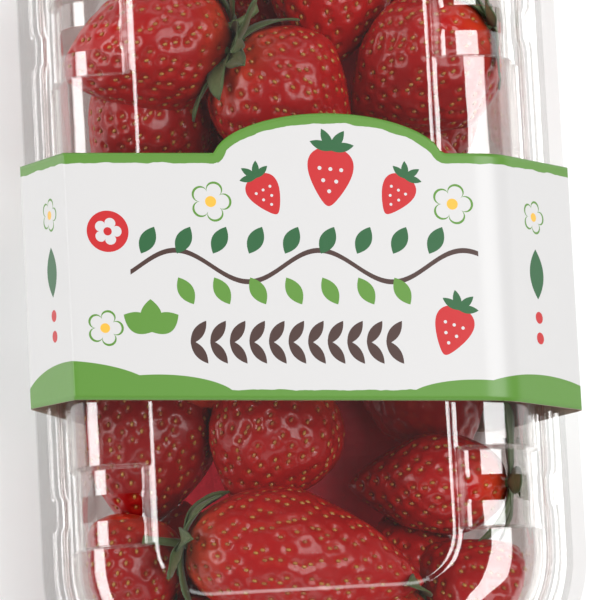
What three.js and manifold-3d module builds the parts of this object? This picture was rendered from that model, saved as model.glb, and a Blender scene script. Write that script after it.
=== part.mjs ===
// A clear clamshell punnet of strawberries: tray, lid, card sleeve, liner pad and fruit.
// Millimetres, +Z up. The origin is under the middle of the pack, on the surface that it stands on.
// X runs across the pack, with the hinge edge at +X, and Y runs along it.
import * as THREE from 'three';
import { mergeVertices } from 'three/addons/utils/BufferGeometryUtils.js';
import Module from 'manifold-3d';

const wasm = await Module();
wasm.setup();

// Driving sizes of the plastic pack
const FLANGE_HALF_X = 58.2;
const FLANGE_HALF_Y = 96;
const FLANGE_CORNER = 31;
const HINGE_STRIP = 2.6;
const HINGE_HALF_Y = 82;
const HINGE_END_TAPER = 5;
const BODY_X = -1.3;
const WALL = 0.7;
const GAP = 0.3;
const CORNER_STEPS = 5;

// How fast a ring shrinks at the ends and at its corners, for each millimetre of inset at the sides
const END_RATE = 0.95;
const CORNER_RATE = 0.77;
const CORNER_LEAST = 4;

// Heights of the card, tray and lid
const CARD = 0.5;
const TRAY_BASE_Z = CARD + GAP;
const TRAY_FLANGE_Z = 51.9;
const FLANGE_THICK = 0.6;
const TRAY_TOP_Z = TRAY_FLANGE_Z + FLANGE_THICK;
const LID_FLANGE_Z = TRAY_TOP_Z + GAP;
const LID_SHOULDER_Z = 73.2;
const LID_TOP_Z = 74;

// Insets from the flange's edge, of the tray
const TRAY_STEP_INSET = 6;
const TRAY_WALL_TOP = { inset: 8.6, z: 47.5 };
const TRAY_WALL_FOOT = { inset: 14.2, z: 6 };
const TRAY_BASE_EDGE = 6;

// Insets from the flange's edge, of the lid
const BEAD_OUTER = 2.8;
const BEAD_INNER = 5.8;
const BEAD_HEIGHT = 4;
const BEAD_ROUND = 0.7;
const GROOVE_Z = 55;
const LID_WALL_FOOT = 7;
const SHOULDER_ROUND = 11;
const SHOULDER_STEPS = 4;
const PANEL_INSET = 26.5;
const PANEL_EDGE = 1.1;

// Vent notches across the lid's shoulders, two on each long side
const NOTCH_Y = 51.3;
const NOTCH_HALF_Y = 8.5;
const NOTCH_DROP = 2.6;
const NOTCH_DRAW = 1.4;
const NOTCH_INNER_X = 33.2;
const SLOT_HALF_Y = 2.8;
const SLOT_INNER_X = 34.4;
const SLOT_FOOT_Z = 60.5;
const SLOT_ROUND = 1.5;

// The card sleeve: its width along the pack, how far it sits askew, and the hump on its far edge
const SLEEVE_WIDTH = 53.6;
const SLEEVE_Y = -4;
const SLEEVE_SKEW = THREE.MathUtils.degToRad(-3.1);
const SLEEVE_TOP_Z = LID_TOP_Z + GAP + CARD;
const SLEEVE_FOOT_X = 44.8;
const SLEEVE_CREASE_X = -48.3;
const SLEEVE_BEND_X = 40;
const SLEEVE_BEND_ROUND = 10;
const SLEEVE_BEND_ANGLE = THREE.MathUtils.degToRad(52);
const SLEEVE_BEND_STEPS = 5;
const HUMP_X = 8.8;
const HUMP_HALF = 24.4;
const HUMP_HEIGHT = 8.7;
const HUMP_POWER = 0.6;
const HUMP_STEPS = 14;

// The liner pad on the tray's floor
const PAD_HALF_X = 37;
const PAD_HALF_Y = 75;
const PAD_CORNER = 15;
const PAD_THICK = 1.8;
const PAD_BEVEL = 0.4;
const PAD_Z = TRAY_BASE_Z + WALL + GAP;

// Strawberries: how finely one is cut, its calyx, and the clearance that the fruit keeps all round
const BERRY_SIDES = 8;
const BERRY_LEVELS = [0, 0.08, 0.26, 0.5, 0.74, 0.92, 1];
const BERRY_SHOULDER = 1.25;
const BERRY_FULLNESS = 0.62;
const BERRY_FLAT = 0.92;
const LEAFLETS = 6;
const LEAFLET_LENGTH = 13;
const LEAFLET_WIDTH = 5;
const LEAFLET_THICK = 0.9;
const LEAFLET_DROOP = THREE.MathUtils.degToRad(14);
const STEM_RADIUS = 1.2;
const STEM_LENGTH = 8;
const STEM_SIDES = 5;
const FRUIT_CLEARANCE = 0.4;
const FRUIT_CEILING_Z = 69.4;
const CORE = { halfX: 33, halfY: 72, corner: 14, low: 5, high: 24 };

// The berries that the clear parts of the lid show: place of the middle, length and width,
// heading from calyx to tip, dip of the tip, and whether the calyx faces the lid
const SHOWN_BERRIES = [
  { at: [-29, 52, 47], size: [39, 30], heading: -168, dip: 6, leafy: true },
  { at: [-33, 37, 34], size: [33, 29], heading: -137, dip: 20, leafy: false },
  { at: [-1, 39, 46], size: [37, 33], heading: -40, dip: 22, leafy: true },
  { at: [10, 64, 41], size: [36, 29], heading: -96, dip: 4, leafy: true },
  { at: [30, 45, 46], size: [38, 34], heading: -152, dip: 12, leafy: true },
  { at: [25, 24, 33], size: [30, 26], heading: 95, dip: 0, leafy: false },
  { at: [-36, -31, 32], size: [36, 30], heading: -99, dip: 10, leafy: false },
  { at: [-8, -36, 42], size: [35, 31], heading: -119, dip: 14, leafy: false },
  { at: [-3, -64, 47], size: [55, 34], heading: -12, dip: 4, leafy: true },
  { at: [27, -47, 33], size: [38, 25], heading: 177, dip: 12, leafy: true },
  { at: [-41, -64, 39], size: [30, 26], heading: -104, dip: 12, leafy: false },
  { at: [-29, -62, 25], size: [30, 25], heading: 88, dip: 8, leafy: true },
  { at: [22, -66, 26], size: [30, 26], heading: 108, dip: 8, leafy: false },
  { at: [36, -72, 36], size: [34, 28], heading: 141, dip: 10, leafy: false },
];

// Rows of berries that the sleeve hides or that the view cuts off: place in plan and height
const HIDDEN_ROWS = [
  { y: 9, z: 40, xs: [-30, -4, 36] },
  { y: -13, z: 40, xs: [-20, 11, 36] },
  { y: 78, z: 42, xs: [-27, 0, 29] },
  { y: -84, z: 38, xs: [-22, 13] },
];
const LOWER_ROWS = [
  { y: 68, z: 19, xs: [-26, 1, 27] },
  { y: 37, z: 19, xs: [-28, 28] },
  { y: 6, z: 19, xs: [-28, 28] },
  { y: -24, z: 19, xs: [-28, 28] },
  { y: -74, z: 19, xs: [-24, 4, 27] },
];
const ROW_BERRY_SIZE = [33, 28];
const ROW_SEED = 5;

// A closed mesh becomes a solid for cutting and joining
function solidOf(geometry) {
  const bare = geometry.clone();
  bare.deleteAttribute('normal');
  bare.deleteAttribute('uv');
  const merged = mergeVertices(bare, 1e-4);
  const corners = merged.index.array;
  const kept = [];
  for (let i = 0; i < corners.length; i += 3) {
    const [a, b, c] = corners.slice(i, i + 3);
    if (a !== b && b !== c && c !== a) kept.push(a, b, c);
  }
  return new wasm.Manifold(new wasm.Mesh({
    numProp: 3,
    vertProperties: merged.attributes.position.array,
    triVerts: new Uint32Array(kept),
  }));
}

// A solid becomes a named mesh with its own material
function meshOf(name, solid, look) {
  const { vertProperties, triVerts, numProp } = solid.getMesh();
  const positions = new Float32Array((vertProperties.length / numProp) * 3);
  for (let i = 0; i < positions.length / 3; i += 1) {
    for (let k = 0; k < 3; k += 1) positions[3 * i + k] = vertProperties[numProp * i + k];
  }
  const geometry = new THREE.BufferGeometry();
  geometry.setAttribute('position', new THREE.BufferAttribute(positions, 3));
  geometry.setIndex(new THREE.BufferAttribute(new Uint32Array(triVerts), 1));
  geometry.computeVertexNormals();
  const mesh = new THREE.Mesh(geometry, new THREE.MeshStandardMaterial(look));
  mesh.name = name;
  return mesh;
}

// Half sizes and corner radius of the rounded rectangle at an inset from the flange's edge
function ringAt(inset) {
  return {
    halfX: FLANGE_HALF_X - inset,
    halfY: FLANGE_HALF_Y - inset * END_RATE,
    corner: Math.max(FLANGE_CORNER - inset * CORNER_RATE, CORNER_LEAST),
  };
}

// A turned shape whose round rings are moved onto rounded rectangles.
// The profile runs from the bottom's middle, round the outside, to the top's middle.
function roundedForm(profile, bottomZ, topZ) {
  const levels = [{ z: bottomZ }, ...profile, { z: topZ }];
  const around = 4 * (CORNER_STEPS + 1);
  const radii = levels.map(({ inset, z }) => new THREE.Vector2(inset === undefined ? 0 : 1, z));
  const geometry = new THREE.LatheGeometry(radii, around);
  const place = geometry.attributes.position;
  for (let i = 0; i <= around; i += 1) {
    const quarter = Math.floor((i % around) / (CORNER_STEPS + 1));
    const step = (i % around) % (CORNER_STEPS + 1);
    const angle = (quarter + step / CORNER_STEPS) * (Math.PI / 2);
    const sideX = quarter === 0 || quarter === 3 ? 1 : -1;
    const sideY = quarter < 2 ? 1 : -1;
    levels.forEach(({ inset, z }, j) => {
      if (inset === undefined) {
        place.setXYZ(i * levels.length + j, 0, 0, z);
        return;
      }
      const { halfX, halfY, corner } = ringAt(inset);
      const x = sideX * (halfX - corner) + corner * Math.cos(angle);
      const y = sideY * (halfY - corner) + corner * Math.sin(angle);
      place.setXYZ(i * levels.length + j, x, y, z);
    });
  }
  return solidOf(geometry);
}

// A profile moved inwards by a distance, square to each of its stretches
function movedIn(profile, distance) {
  const normals = profile.slice(1).map((next, i) => {
    const run = new THREE.Vector2(profile[i].inset - next.inset, next.z - profile[i].z).normalize();
    return new THREE.Vector2(run.y, -run.x);
  });
  return profile.map(({ inset, z }, i) => {
    const before = normals[Math.max(i - 1, 0)];
    const after = normals[Math.min(i, normals.length - 1)];
    const share = distance / (1 + before.dot(after));
    return {
      inset: inset + share * (before.x + after.x),
      z: z - share * (before.y + after.y),
    };
  });
}

function box(lowX, highX, lowY, highY, lowZ, highZ) {
  const geometry = new THREE.BoxGeometry(highX - lowX, highY - lowY, highZ - lowZ);
  geometry.translate((lowX + highX) / 2, (lowY + highY) / 2, (lowZ + highZ) / 2);
  return solidOf(geometry);
}

function roundedRectangle(halfX, halfY, corner) {
  const shape = new THREE.Shape();
  shape.absarc(halfX - corner, halfY - corner, corner, 0, Math.PI / 2);
  shape.absarc(corner - halfX, halfY - corner, corner, Math.PI / 2, Math.PI);
  shape.absarc(corner - halfX, corner - halfY, corner, Math.PI, 1.5 * Math.PI);
  shape.absarc(halfX - corner, corner - halfY, corner, 1.5 * Math.PI, 2 * Math.PI);
  return shape;
}

// The tray: a drawn shell with a rounded base edge, a step, a flange and the straight hinge strip
function trayWallProfile() {
  const foot = TRAY_WALL_FOOT;
  const edge = [0.1, 0.35, 0.65].map((share) => {
    const angle = share * (Math.PI / 2);
    return {
      inset: foot.inset + TRAY_BASE_EDGE * (1 - Math.sin(angle)),
      z: foot.z - (foot.z - TRAY_BASE_Z) * Math.cos(angle),
    };
  });
  return [
    { inset: foot.inset + TRAY_BASE_EDGE, z: TRAY_BASE_Z },
    ...edge,
    foot,
    TRAY_WALL_TOP,
    { inset: TRAY_WALL_TOP.inset - 0.7, z: TRAY_WALL_TOP.z + 1.1 },
    { inset: TRAY_STEP_INSET, z: TRAY_WALL_TOP.z + 1.3 },
    { inset: TRAY_STEP_INSET - 0.4, z: TRAY_FLANGE_Z },
  ];
}

function makeTray() {
  const wall = trayWallProfile();
  const flange = [{ inset: 0, z: TRAY_FLANGE_Z }, { inset: 0, z: TRAY_TOP_Z }];
  const outer = roundedForm([...wall, ...flange], TRAY_BASE_Z, TRAY_TOP_Z);
  const stripPlan = new THREE.Shape([
    new THREE.Vector2(FLANGE_HALF_X - 10, -HINGE_HALF_Y),
    new THREE.Vector2(FLANGE_HALF_X + HINGE_STRIP, HINGE_END_TAPER - HINGE_HALF_Y),
    new THREE.Vector2(FLANGE_HALF_X + HINGE_STRIP, HINGE_HALF_Y - HINGE_END_TAPER),
    new THREE.Vector2(FLANGE_HALF_X - 10, HINGE_HALF_Y),
  ]);
  const strip = new THREE.ExtrudeGeometry(stripPlan, { depth: FLANGE_THICK, bevelEnabled: false });
  strip.translate(0, 0, TRAY_FLANGE_Z);
  const inner = movedIn(wall, WALL);
  const rim = inner[inner.length - 1];
  const above = { inset: rim.inset, z: TRAY_TOP_Z + 1 };
  const hollow = roundedForm([...inner, above], TRAY_BASE_Z + WALL, above.z);
  return outer.add(solidOf(strip)).subtract(hollow);
}

// The lid's profile, from the flange's edge to the panel. A drop lowers the shoulder, for a notch.
function lidProfile(drop, draw) {
  const flangeTop = LID_FLANGE_Z + FLANGE_THICK;
  const beadTop = LID_FLANGE_Z + BEAD_HEIGHT;
  const wallTop = { inset: LID_WALL_FOOT + 0.9 + draw, z: LID_SHOULDER_Z - 11.7 - drop / 2 };
  const shoulderZ = LID_SHOULDER_Z - drop;
  const shoulder = [];
  for (let i = 1; i <= SHOULDER_STEPS; i += 1) {
    const angle = (i / SHOULDER_STEPS) * (Math.PI / 2);
    shoulder.push({
      inset: wallTop.inset + SHOULDER_ROUND * (1 - Math.cos(angle)),
      z: wallTop.z + (shoulderZ - wallTop.z) * Math.sin(angle),
    });
  }
  return [
    { inset: 0.4, z: LID_FLANGE_Z },
    { inset: 0.4, z: flangeTop },
    { inset: BEAD_OUTER, z: flangeTop },
    { inset: BEAD_OUTER + 0.3, z: beadTop - BEAD_ROUND },
    { inset: BEAD_OUTER + 0.3 + BEAD_ROUND, z: beadTop },
    { inset: BEAD_INNER - 0.2 - BEAD_ROUND, z: beadTop },
    { inset: BEAD_INNER - 0.2, z: beadTop - BEAD_ROUND },
    { inset: BEAD_INNER, z: GROOVE_Z },
    { inset: LID_WALL_FOOT + draw, z: GROOVE_Z },
    wallTop,
    ...shoulder,
  ];
}

function lidForms(profile, topZ) {
  const inner = movedIn(profile, FLANGE_THICK).slice(2);
  const below = { inset: inner[0].inset, z: TRAY_FLANGE_Z };
  return {
    outer: roundedForm(profile, LID_FLANGE_Z, topZ),
    hollow: roundedForm([below, ...inner], below.z, topZ - FLANGE_THICK),
  };
}

// The four notches as boxes. A margin makes them longer, for the inside of the lid's skin.
function notchBoxes(margin) {
  const boxes = [];
  for (const side of [-1, 1]) {
    for (const end of [-1, 1]) {
      const inner = side * (NOTCH_INNER_X - margin);
      const outer = side * FLANGE_HALF_X;
      boxes.push(box(
        Math.min(inner, outer), Math.max(inner, outer),
        end * NOTCH_Y - NOTCH_HALF_Y - margin, end * NOTCH_Y + NOTCH_HALF_Y + margin,
        GROOVE_Z - (margin > 0 ? FLANGE_THICK : 0), LID_TOP_Z + 5,
      ));
    }
  }
  return wasm.Manifold.union(boxes);
}

function ventSlots() {
  const slots = [];
  const reach = FLANGE_HALF_X - LID_WALL_FOOT - SLOT_INNER_X;
  const shape = roundedRectangle(reach / 2, SLOT_HALF_Y, SLOT_ROUND);
  const depth = LID_TOP_Z - SLOT_FOOT_Z;
  for (const side of [-1, 1]) {
    for (const end of [-1, 1]) {
      const geometry = new THREE.ExtrudeGeometry(shape, { depth, bevelEnabled: false, curveSegments: 3 });
      geometry.translate(side * (SLOT_INNER_X + reach / 2), end * NOTCH_Y, SLOT_FOOT_Z);
      slots.push(solidOf(geometry));
    }
  }
  return wasm.Manifold.union(slots);
}

function makeLid() {
  const panel = [
    { inset: PANEL_INSET - PANEL_EDGE, z: LID_SHOULDER_Z },
    { inset: PANEL_INSET, z: LID_TOP_Z },
  ];
  const full = lidForms([...lidProfile(0, 0), ...panel], LID_TOP_Z);
  const low = lidForms(lidProfile(NOTCH_DROP, NOTCH_DRAW), LID_SHOULDER_Z - NOTCH_DROP);
  const outer = full.outer.subtract(notchBoxes(0)).add(low.outer);
  const hollow = full.hollow.subtract(notchBoxes(FLANGE_THICK)).add(low.hollow);
  return outer.subtract(hollow).subtract(ventSlots());
}

// The sleeve's section across the pack, as a closed loop of its outer face
function sleeveLoop() {
  const leftEdge = -FLANGE_HALF_X - GAP - CARD;
  const rightEdge = FLANGE_HALF_X + HINGE_STRIP + GAP + CARD;
  const loop = [
    new THREE.Vector2(-SLEEVE_FOOT_X, 0),
    new THREE.Vector2(SLEEVE_FOOT_X, 0),
    new THREE.Vector2(rightEdge, TRAY_FLANGE_Z - 0.6),
    new THREE.Vector2(rightEdge, LID_FLANGE_Z + 1),
  ];
  for (let i = SLEEVE_BEND_STEPS; i >= 0; i -= 1) {
    const angle = (i / SLEEVE_BEND_STEPS) * SLEEVE_BEND_ANGLE;
    loop.push(new THREE.Vector2(
      SLEEVE_BEND_X + SLEEVE_BEND_ROUND * Math.sin(angle),
      SLEEVE_TOP_Z - SLEEVE_BEND_ROUND * (1 - Math.cos(angle)),
    ));
  }
  loop.push(new THREE.Vector2(SLEEVE_CREASE_X, SLEEVE_TOP_Z));
  loop.push(new THREE.Vector2(leftEdge, LID_FLANGE_Z + 1));
  loop.push(new THREE.Vector2(leftEdge, TRAY_FLANGE_Z - 0.6));
  return loop;
}

// A closed loop moved inwards by a distance, square to each of its sides
function loopMovedIn(loop, distance) {
  return loop.map((corner, i) => {
    const before = corner.clone().sub(loop[(i + loop.length - 1) % loop.length]).normalize();
    const after = loop[(i + 1) % loop.length].clone().sub(corner).normalize();
    const inwards = new THREE.Vector2(-before.y - after.y, before.x + after.x);
    return corner.clone().addScaledVector(inwards, distance / (1 + before.dot(after)));
  });
}

// The hump on the sleeve's far edge, in the sleeve's own plan
function humpOutline() {
  const shape = new THREE.Shape();
  shape.moveTo(HUMP_X - HUMP_HALF, 0);
  for (let i = HUMP_STEPS; i >= 0; i -= 1) {
    const along = -Math.cos((i / HUMP_STEPS) * Math.PI);
    const rise = HUMP_HEIGHT * (1 - along * along) ** HUMP_POWER;
    shape.lineTo(HUMP_X + HUMP_HALF * along, SLEEVE_WIDTH / 2 + rise);
  }
  shape.lineTo(HUMP_X - HUMP_HALF, 0);
  return shape;
}

function makeSleeve() {
  const length = 2 * SLEEVE_WIDTH;
  const outer = sleeveLoop();
  const shape = new THREE.Shape(outer);
  shape.holes.push(new THREE.Path(loopMovedIn(outer, CARD)));
  const tube = new THREE.ExtrudeGeometry(shape, { depth: length, bevelEnabled: false });
  tube.rotateX(Math.PI / 2);
  tube.translate(0, length / 2 + SLEEVE_Y, 0);

  const band = new THREE.BoxGeometry(4 * FLANGE_HALF_X, SLEEVE_WIDTH, 2 * SLEEVE_TOP_Z);
  const hump = new THREE.ExtrudeGeometry(humpOutline(), { depth: SLEEVE_TOP_Z, bevelEnabled: false });
  hump.translate(0, 0, TRAY_TOP_Z);
  for (const cutter of [band, hump]) {
    cutter.rotateZ(SLEEVE_SKEW);
    cutter.translate(0, SLEEVE_Y, 0);
  }
  return solidOf(tube).intersect(solidOf(band).add(solidOf(hump)));
}

function makePad() {
  const shape = roundedRectangle(PAD_HALF_X - PAD_BEVEL, PAD_HALF_Y - PAD_BEVEL, PAD_CORNER);
  const pad = new THREE.ExtrudeGeometry(shape, {
    depth: PAD_THICK - 2 * PAD_BEVEL,
    bevelThickness: PAD_BEVEL,
    bevelSize: PAD_BEVEL,
    bevelSegments: 1,
    curveSegments: 5,
  });
  pad.translate(0, 0, PAD_Z + PAD_BEVEL);
  return solidOf(pad);
}

// How wide a berry is at a share of its length from the tip, 1 at its widest
function berryWidth(share) {
  return Math.max(Math.sin(Math.PI * share ** BERRY_SHOULDER), 0) ** BERRY_FULLNESS;
}

// Pointed leaflets round a short stem, at the top of a berry that stands on its tip
function calyxSolids(length) {
  const kite = new THREE.Shape([
    new THREE.Vector2(0, 0),
    new THREE.Vector2(LEAFLET_LENGTH * 0.5, -LEAFLET_WIDTH / 2),
    new THREE.Vector2(LEAFLET_LENGTH, 0),
    new THREE.Vector2(LEAFLET_LENGTH * 0.5, LEAFLET_WIDTH / 2),
  ]);
  const solids = [];
  for (let i = 0; i < LEAFLETS; i += 1) {
    const leaflet = new THREE.ExtrudeGeometry(kite, { depth: LEAFLET_THICK, bevelEnabled: false });
    leaflet.rotateX(-Math.PI / 2);
    leaflet.rotateZ(-LEAFLET_DROOP);
    leaflet.rotateY((i / LEAFLETS) * 2 * Math.PI);
    leaflet.translate(0, length - 0.6, 0);
    solids.push(solidOf(leaflet));
  }
  const stem = new THREE.CylinderGeometry(STEM_RADIUS, STEM_RADIUS, STEM_LENGTH, STEM_SIDES);
  stem.translate(0, length + STEM_LENGTH / 2 - 2, 0);
  solids.push(solidOf(stem));
  return solids;
}

// One berry, turned about its own length, then laid along its heading
function berrySolid({ at, size, heading, dip, leafy }) {
  const [length, width] = size;
  const outline = BERRY_LEVELS.map((share) => (
    new THREE.Vector2((width / 2) * berryWidth(share), length * share)
  ));
  const fruit = new THREE.LatheGeometry(outline, BERRY_SIDES);
  fruit.scale(1, 1, BERRY_FLAT);
  const pieces = [solidOf(fruit)];
  if (leafy) pieces.push(...calyxSolids(length));

  const turn = THREE.MathUtils.degToRad(heading);
  const down = THREE.MathUtils.degToRad(dip);
  const toCalyx = new THREE.Vector3(
    -Math.cos(turn) * Math.cos(down),
    -Math.sin(turn) * Math.cos(down),
    Math.sin(down),
  );
  const lay = new THREE.Quaternion().setFromUnitVectors(new THREE.Vector3(0, 1, 0), toCalyx);
  const placed = new THREE.Matrix4()
    .makeTranslation(...at)
    .multiply(new THREE.Matrix4().makeRotationFromQuaternion(lay))
    .multiply(new THREE.Matrix4().makeTranslation(0, -length / 2, 0));
  return wasm.Manifold.union(pieces).transform(placed.toArray());
}

// Berries of a row, each with its own heading and size from a seeded rule
function rowBerries(rows) {
  let seed = ROW_SEED;
  const draw = () => {
    seed = (seed * 16807) % 2147483647;
    return seed / 2147483647;
  };
  return rows.flatMap(({ y, z, xs }) => xs.map((x) => {
    const growth = 0.94 + 0.14 * draw();
    return {
      at: [x, y + 6 * (draw() - 0.5), z],
      size: ROW_BERRY_SIZE.map((side) => side * growth),
      heading: 360 * draw(),
      dip: 24 * (draw() - 0.5),
      leafy: false,
    };
  }));
}

// The space inside the shut pack, less a clearance, that the fruit may fill
function fruitSpace() {
  const room = movedIn(trayWallProfile().slice(0, 6), WALL + FRUIT_CLEARANCE);
  const floorZ = PAD_Z + PAD_THICK + GAP;
  const walls = room.filter(({ z }) => z > floorZ);
  const floor = { inset: walls[0].inset + 2, z: floorZ };
  const top = movedIn(lidProfile(NOTCH_DROP, NOTCH_DRAW), FLANGE_THICK + FRUIT_CLEARANCE).slice(9);
  return roundedForm([floor, ...walls, ...top], floorZ, Math.min(FRUIT_CEILING_Z, top[top.length - 1].z));
}

function makeStrawberries() {
  const core = new THREE.ExtrudeGeometry(
    roundedRectangle(CORE.halfX, CORE.halfY, CORE.corner),
    { depth: CORE.high - CORE.low, bevelEnabled: false, curveSegments: 2 },
  );
  core.translate(0, 0, CORE.low);
  const berries = [...SHOWN_BERRIES, ...rowBerries([...HIDDEN_ROWS, ...LOWER_ROWS])];
  const heap = wasm.Manifold.union([solidOf(core), ...berries.map(berrySolid)]);
  return heap.translate(-BODY_X, 0, 0).intersect(fruitSpace());
}

const CLEAR_LOOK = { color: 0xe9eef0, roughness: 0.08, metalness: 0, transparent: true, opacity: 0.35 };
const PUNNET = new THREE.Group();
PUNNET.add(meshOf('tray', makeTray(), CLEAR_LOOK));
PUNNET.add(meshOf('lid', makeLid(), CLEAR_LOOK));
PUNNET.add(meshOf('sleeve', makeSleeve(), { color: 0xefeded, roughness: 0.55, metalness: 0 }));
PUNNET.add(meshOf('liner_pad', makePad(), { color: 0x8c1a2c, roughness: 0.6, metalness: 0 }));
PUNNET.add(meshOf('strawberries', makeStrawberries(), { color: 0xb4141c, roughness: 0.3, metalness: 0 }));
for (const piece of PUNNET.children) piece.position.x = BODY_X;

export default PUNNET;
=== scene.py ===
"""A shut, clear punnet of strawberries with a printed card sleeve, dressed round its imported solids."""

import math
import random

import bmesh
import bpy
from mathutils import Matrix, Vector, kdtree, noise


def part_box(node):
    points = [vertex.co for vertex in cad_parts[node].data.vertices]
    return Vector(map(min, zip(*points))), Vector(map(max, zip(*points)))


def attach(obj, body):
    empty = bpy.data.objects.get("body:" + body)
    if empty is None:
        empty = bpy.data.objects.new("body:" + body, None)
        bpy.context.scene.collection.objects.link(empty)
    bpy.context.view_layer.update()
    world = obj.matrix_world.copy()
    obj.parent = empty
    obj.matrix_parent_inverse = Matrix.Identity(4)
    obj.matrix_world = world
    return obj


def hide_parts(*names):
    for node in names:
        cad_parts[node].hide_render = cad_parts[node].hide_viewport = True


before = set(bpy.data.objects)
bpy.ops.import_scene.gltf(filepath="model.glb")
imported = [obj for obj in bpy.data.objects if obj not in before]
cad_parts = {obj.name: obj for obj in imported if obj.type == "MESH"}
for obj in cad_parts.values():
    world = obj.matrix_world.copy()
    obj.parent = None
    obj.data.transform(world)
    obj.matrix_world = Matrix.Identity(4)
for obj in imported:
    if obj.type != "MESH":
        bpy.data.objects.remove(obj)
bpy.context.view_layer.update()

bl_info = {
    "name": "Strawberry punnet",
    "version": (1, 0, 0),
    "blender": (4, 5, 0),
    "location": "3D View > Sidebar > Punnet",
    "description": "Builds a clear punnet of strawberries, its card sleeve and its stage, piece by piece",
    "category": "Add Mesh",
}

# Shapes are worked out in millimetres, and each finished piece is brought to metres
MM = 0.001


def box_of(node):
    """Lowest and highest corner of a node of the frame, in millimetres."""
    low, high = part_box(node)
    return low / MM, high / MM


TRAY_LOW, TRAY_HIGH = box_of("tray")
LID_LOW, LID_HIGH = box_of("lid")
SLEEVE_LOW, SLEEVE_HIGH = box_of("sleeve")
PAD_LOW, PAD_HIGH = box_of("liner_pad")

# The clear pack in plan: rounded rectangles that shrink with their inset from the flange's edge
LID_EDGE_INSET = 0.4
BODY_X = (LID_LOW.x + LID_HIGH.x) / 2
FLANGE_HALF_X = (LID_HIGH.x - LID_LOW.x) / 2 + LID_EDGE_INSET
FLANGE_HALF_Y = TRAY_HIGH.y
FLANGE_CORNER = 31
CORNER_RATE = 0.77
CORNER_LEAST = 4
END_RATE = 0.95
HINGE_STRIP = TRAY_HIGH.x - BODY_X - FLANGE_HALF_X
HINGE_HALF_Y = 82
HINGE_END_TAPER = 5

# Heights of the tray and lid
TRAY_BASE_Z = TRAY_LOW.z
TRAY_TOP_Z = TRAY_HIGH.z
FLANGE_THICK = 0.6
FLANGE_ROUND = 0.4
LID_FLANGE_Z = LID_LOW.z + FLANGE_THICK
LID_TOP_Z = LID_HIGH.z
LID_SHOULDER_Z = LID_TOP_Z - 0.8

# The tray's wall: its foot, its top and its step, as insets and heights
TRAY_FOOT = (14.2, 6.0)
TRAY_WALL_TOP = (8.6, 47.5)
TRAY_BASE_EDGE = 6
TRAY_STEP_ROUND = 1.2
TRAY_NECK_ROUND = 0.8
TRAY_NECK_INSET = 5

# The lid's bead, groove, wall and shoulder
BEAD_OUTER = 2.8
BEAD_INNER = 5.8
BEAD_TOP_Z = LID_LOW.z + 4
BEAD_ROUND = 0.9
GROOVE_Z = 55
GROOVE_ROUND = 0.5
LID_WALL_FOOT = 7
LID_WALL_LEAN = 0.9
SHOULDER_ROUND = 11
SHOULDER_RISE = 11.7
SHOULDER_STEPS = 12
SHOULDER_FLAT_STEPS = 7
PANEL_INSET = 26.5
PANEL_EDGE = 1.1
CATCH_DEPTH = 0.7
CATCH_PAST_SLOT = 1.5
CATCH_SIDE = 1.2

# Vent notches across the shoulders, each with an open slot
NOTCH_Y = 51.3
NOTCH_HALF_Y = 8.5
NOTCH_SIDE = 0.8
NOTCH_DROP = 2.6
NOTCH_DRAW = 1.4
NOTCH_RAMP = (23.4, 25.2)
SLOT_HALF_Y = 2.8
SLOT_INNER_INSET = 23.8
SLOT_ROUND = 1.5

# Stops along half a long side, up to where a notch begins
SIDE_ROWS = [0, 9, 18, 27, 35, 40]

# Two places closer than this are the same
TOUCH = 1e-6

# The card sleeve: its section across the pack, its place along it, and the hump on its far edge
CARD = 0.5
SLEEVE_WIDTH = 53.6
SLEEVE_Y = -4
SLEEVE_SKEW = math.radians(-3.1)
SLEEVE_FOOT_X = 44.8
SLEEVE_CREASE_X = -48.3
SLEEVE_BEND_X = 44.9
SLEEVE_BEND_ROUND = 10
SLEEVE_RIM_LOW = 51.3
SLEEVE_RIM_HIGH = 53.8
HUMP_X = 8.8
HUMP_HALF = 24.4
HUMP_HEIGHT = 8.7
HUMP_POWER = 0.6
SLEEVE_ROWS = [0, 1.2, 2.4, 3.6, 8, 14, 20, 26, 32, 38, 44, 47, 48.5, 50, 51, 52, 52.8, SLEEVE_WIDTH]

# Millimetres of card for each unit of its UV map
CARD_UNIT = 100

# The pad: how square its corners are, its gap to the wall, its swell and its quilting
PAD_SQUARE = 7
PAD_GAP = 0.3
PAD_SINK = 0.35
PAD_SWELL = 0.7
PAD_SWELL_SHARE = 0.08
PAD_QUILT = 0.22
PAD_QUILT_WAVES = 0.12

# Strawberries: their outline, their pips and the room that the clear pack leaves them
BERRY_SHOULDER = 1.25
BERRY_FULLNESS = 0.62
BERRY_FLAT = 0.93
LARGE_LUMPS = (0.085, 1.5)
SMALL_LUMPS = (0.03, 3.6)
CALYX_DIP = 2.0
CALYX_DIP_REACH = 5
FINE_BALL = 6
COARSE_BALL = 5
PIP_LENGTH = 1.4
PIP_WIDTH = 0.85
PIP_HEIGHT = 0.5
PIP_SUNK = 0.72
LAST_PIP_SHARE = 0.965
DIMPLE_REACH = 1.6
FRUIT_CLEARANCE = 1.1
FRUIT_CEILING_Z = 69.4

# Calyxes: the least and the greatest of each measure
LEAFLET_LENGTH = (13, 19)
LEAFLET_WIDTH = (4.2, 5.8)
LEAFLET_LIFT = (-0.15, 0.55)
LEAFLET_CURL = (-1.1, 0.3)
LEAFLET_THICK = 0.35
STEM_LENGTH = (7, 11)
STEM_RADIUS = 1.3
STEM_BEND = 3.0
STEM_RINGS = [(0.15, 1.05), (0.35, 0.95), (0.6, 0.9), (0.85, 0.95), (1.0, 1.1)]

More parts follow.
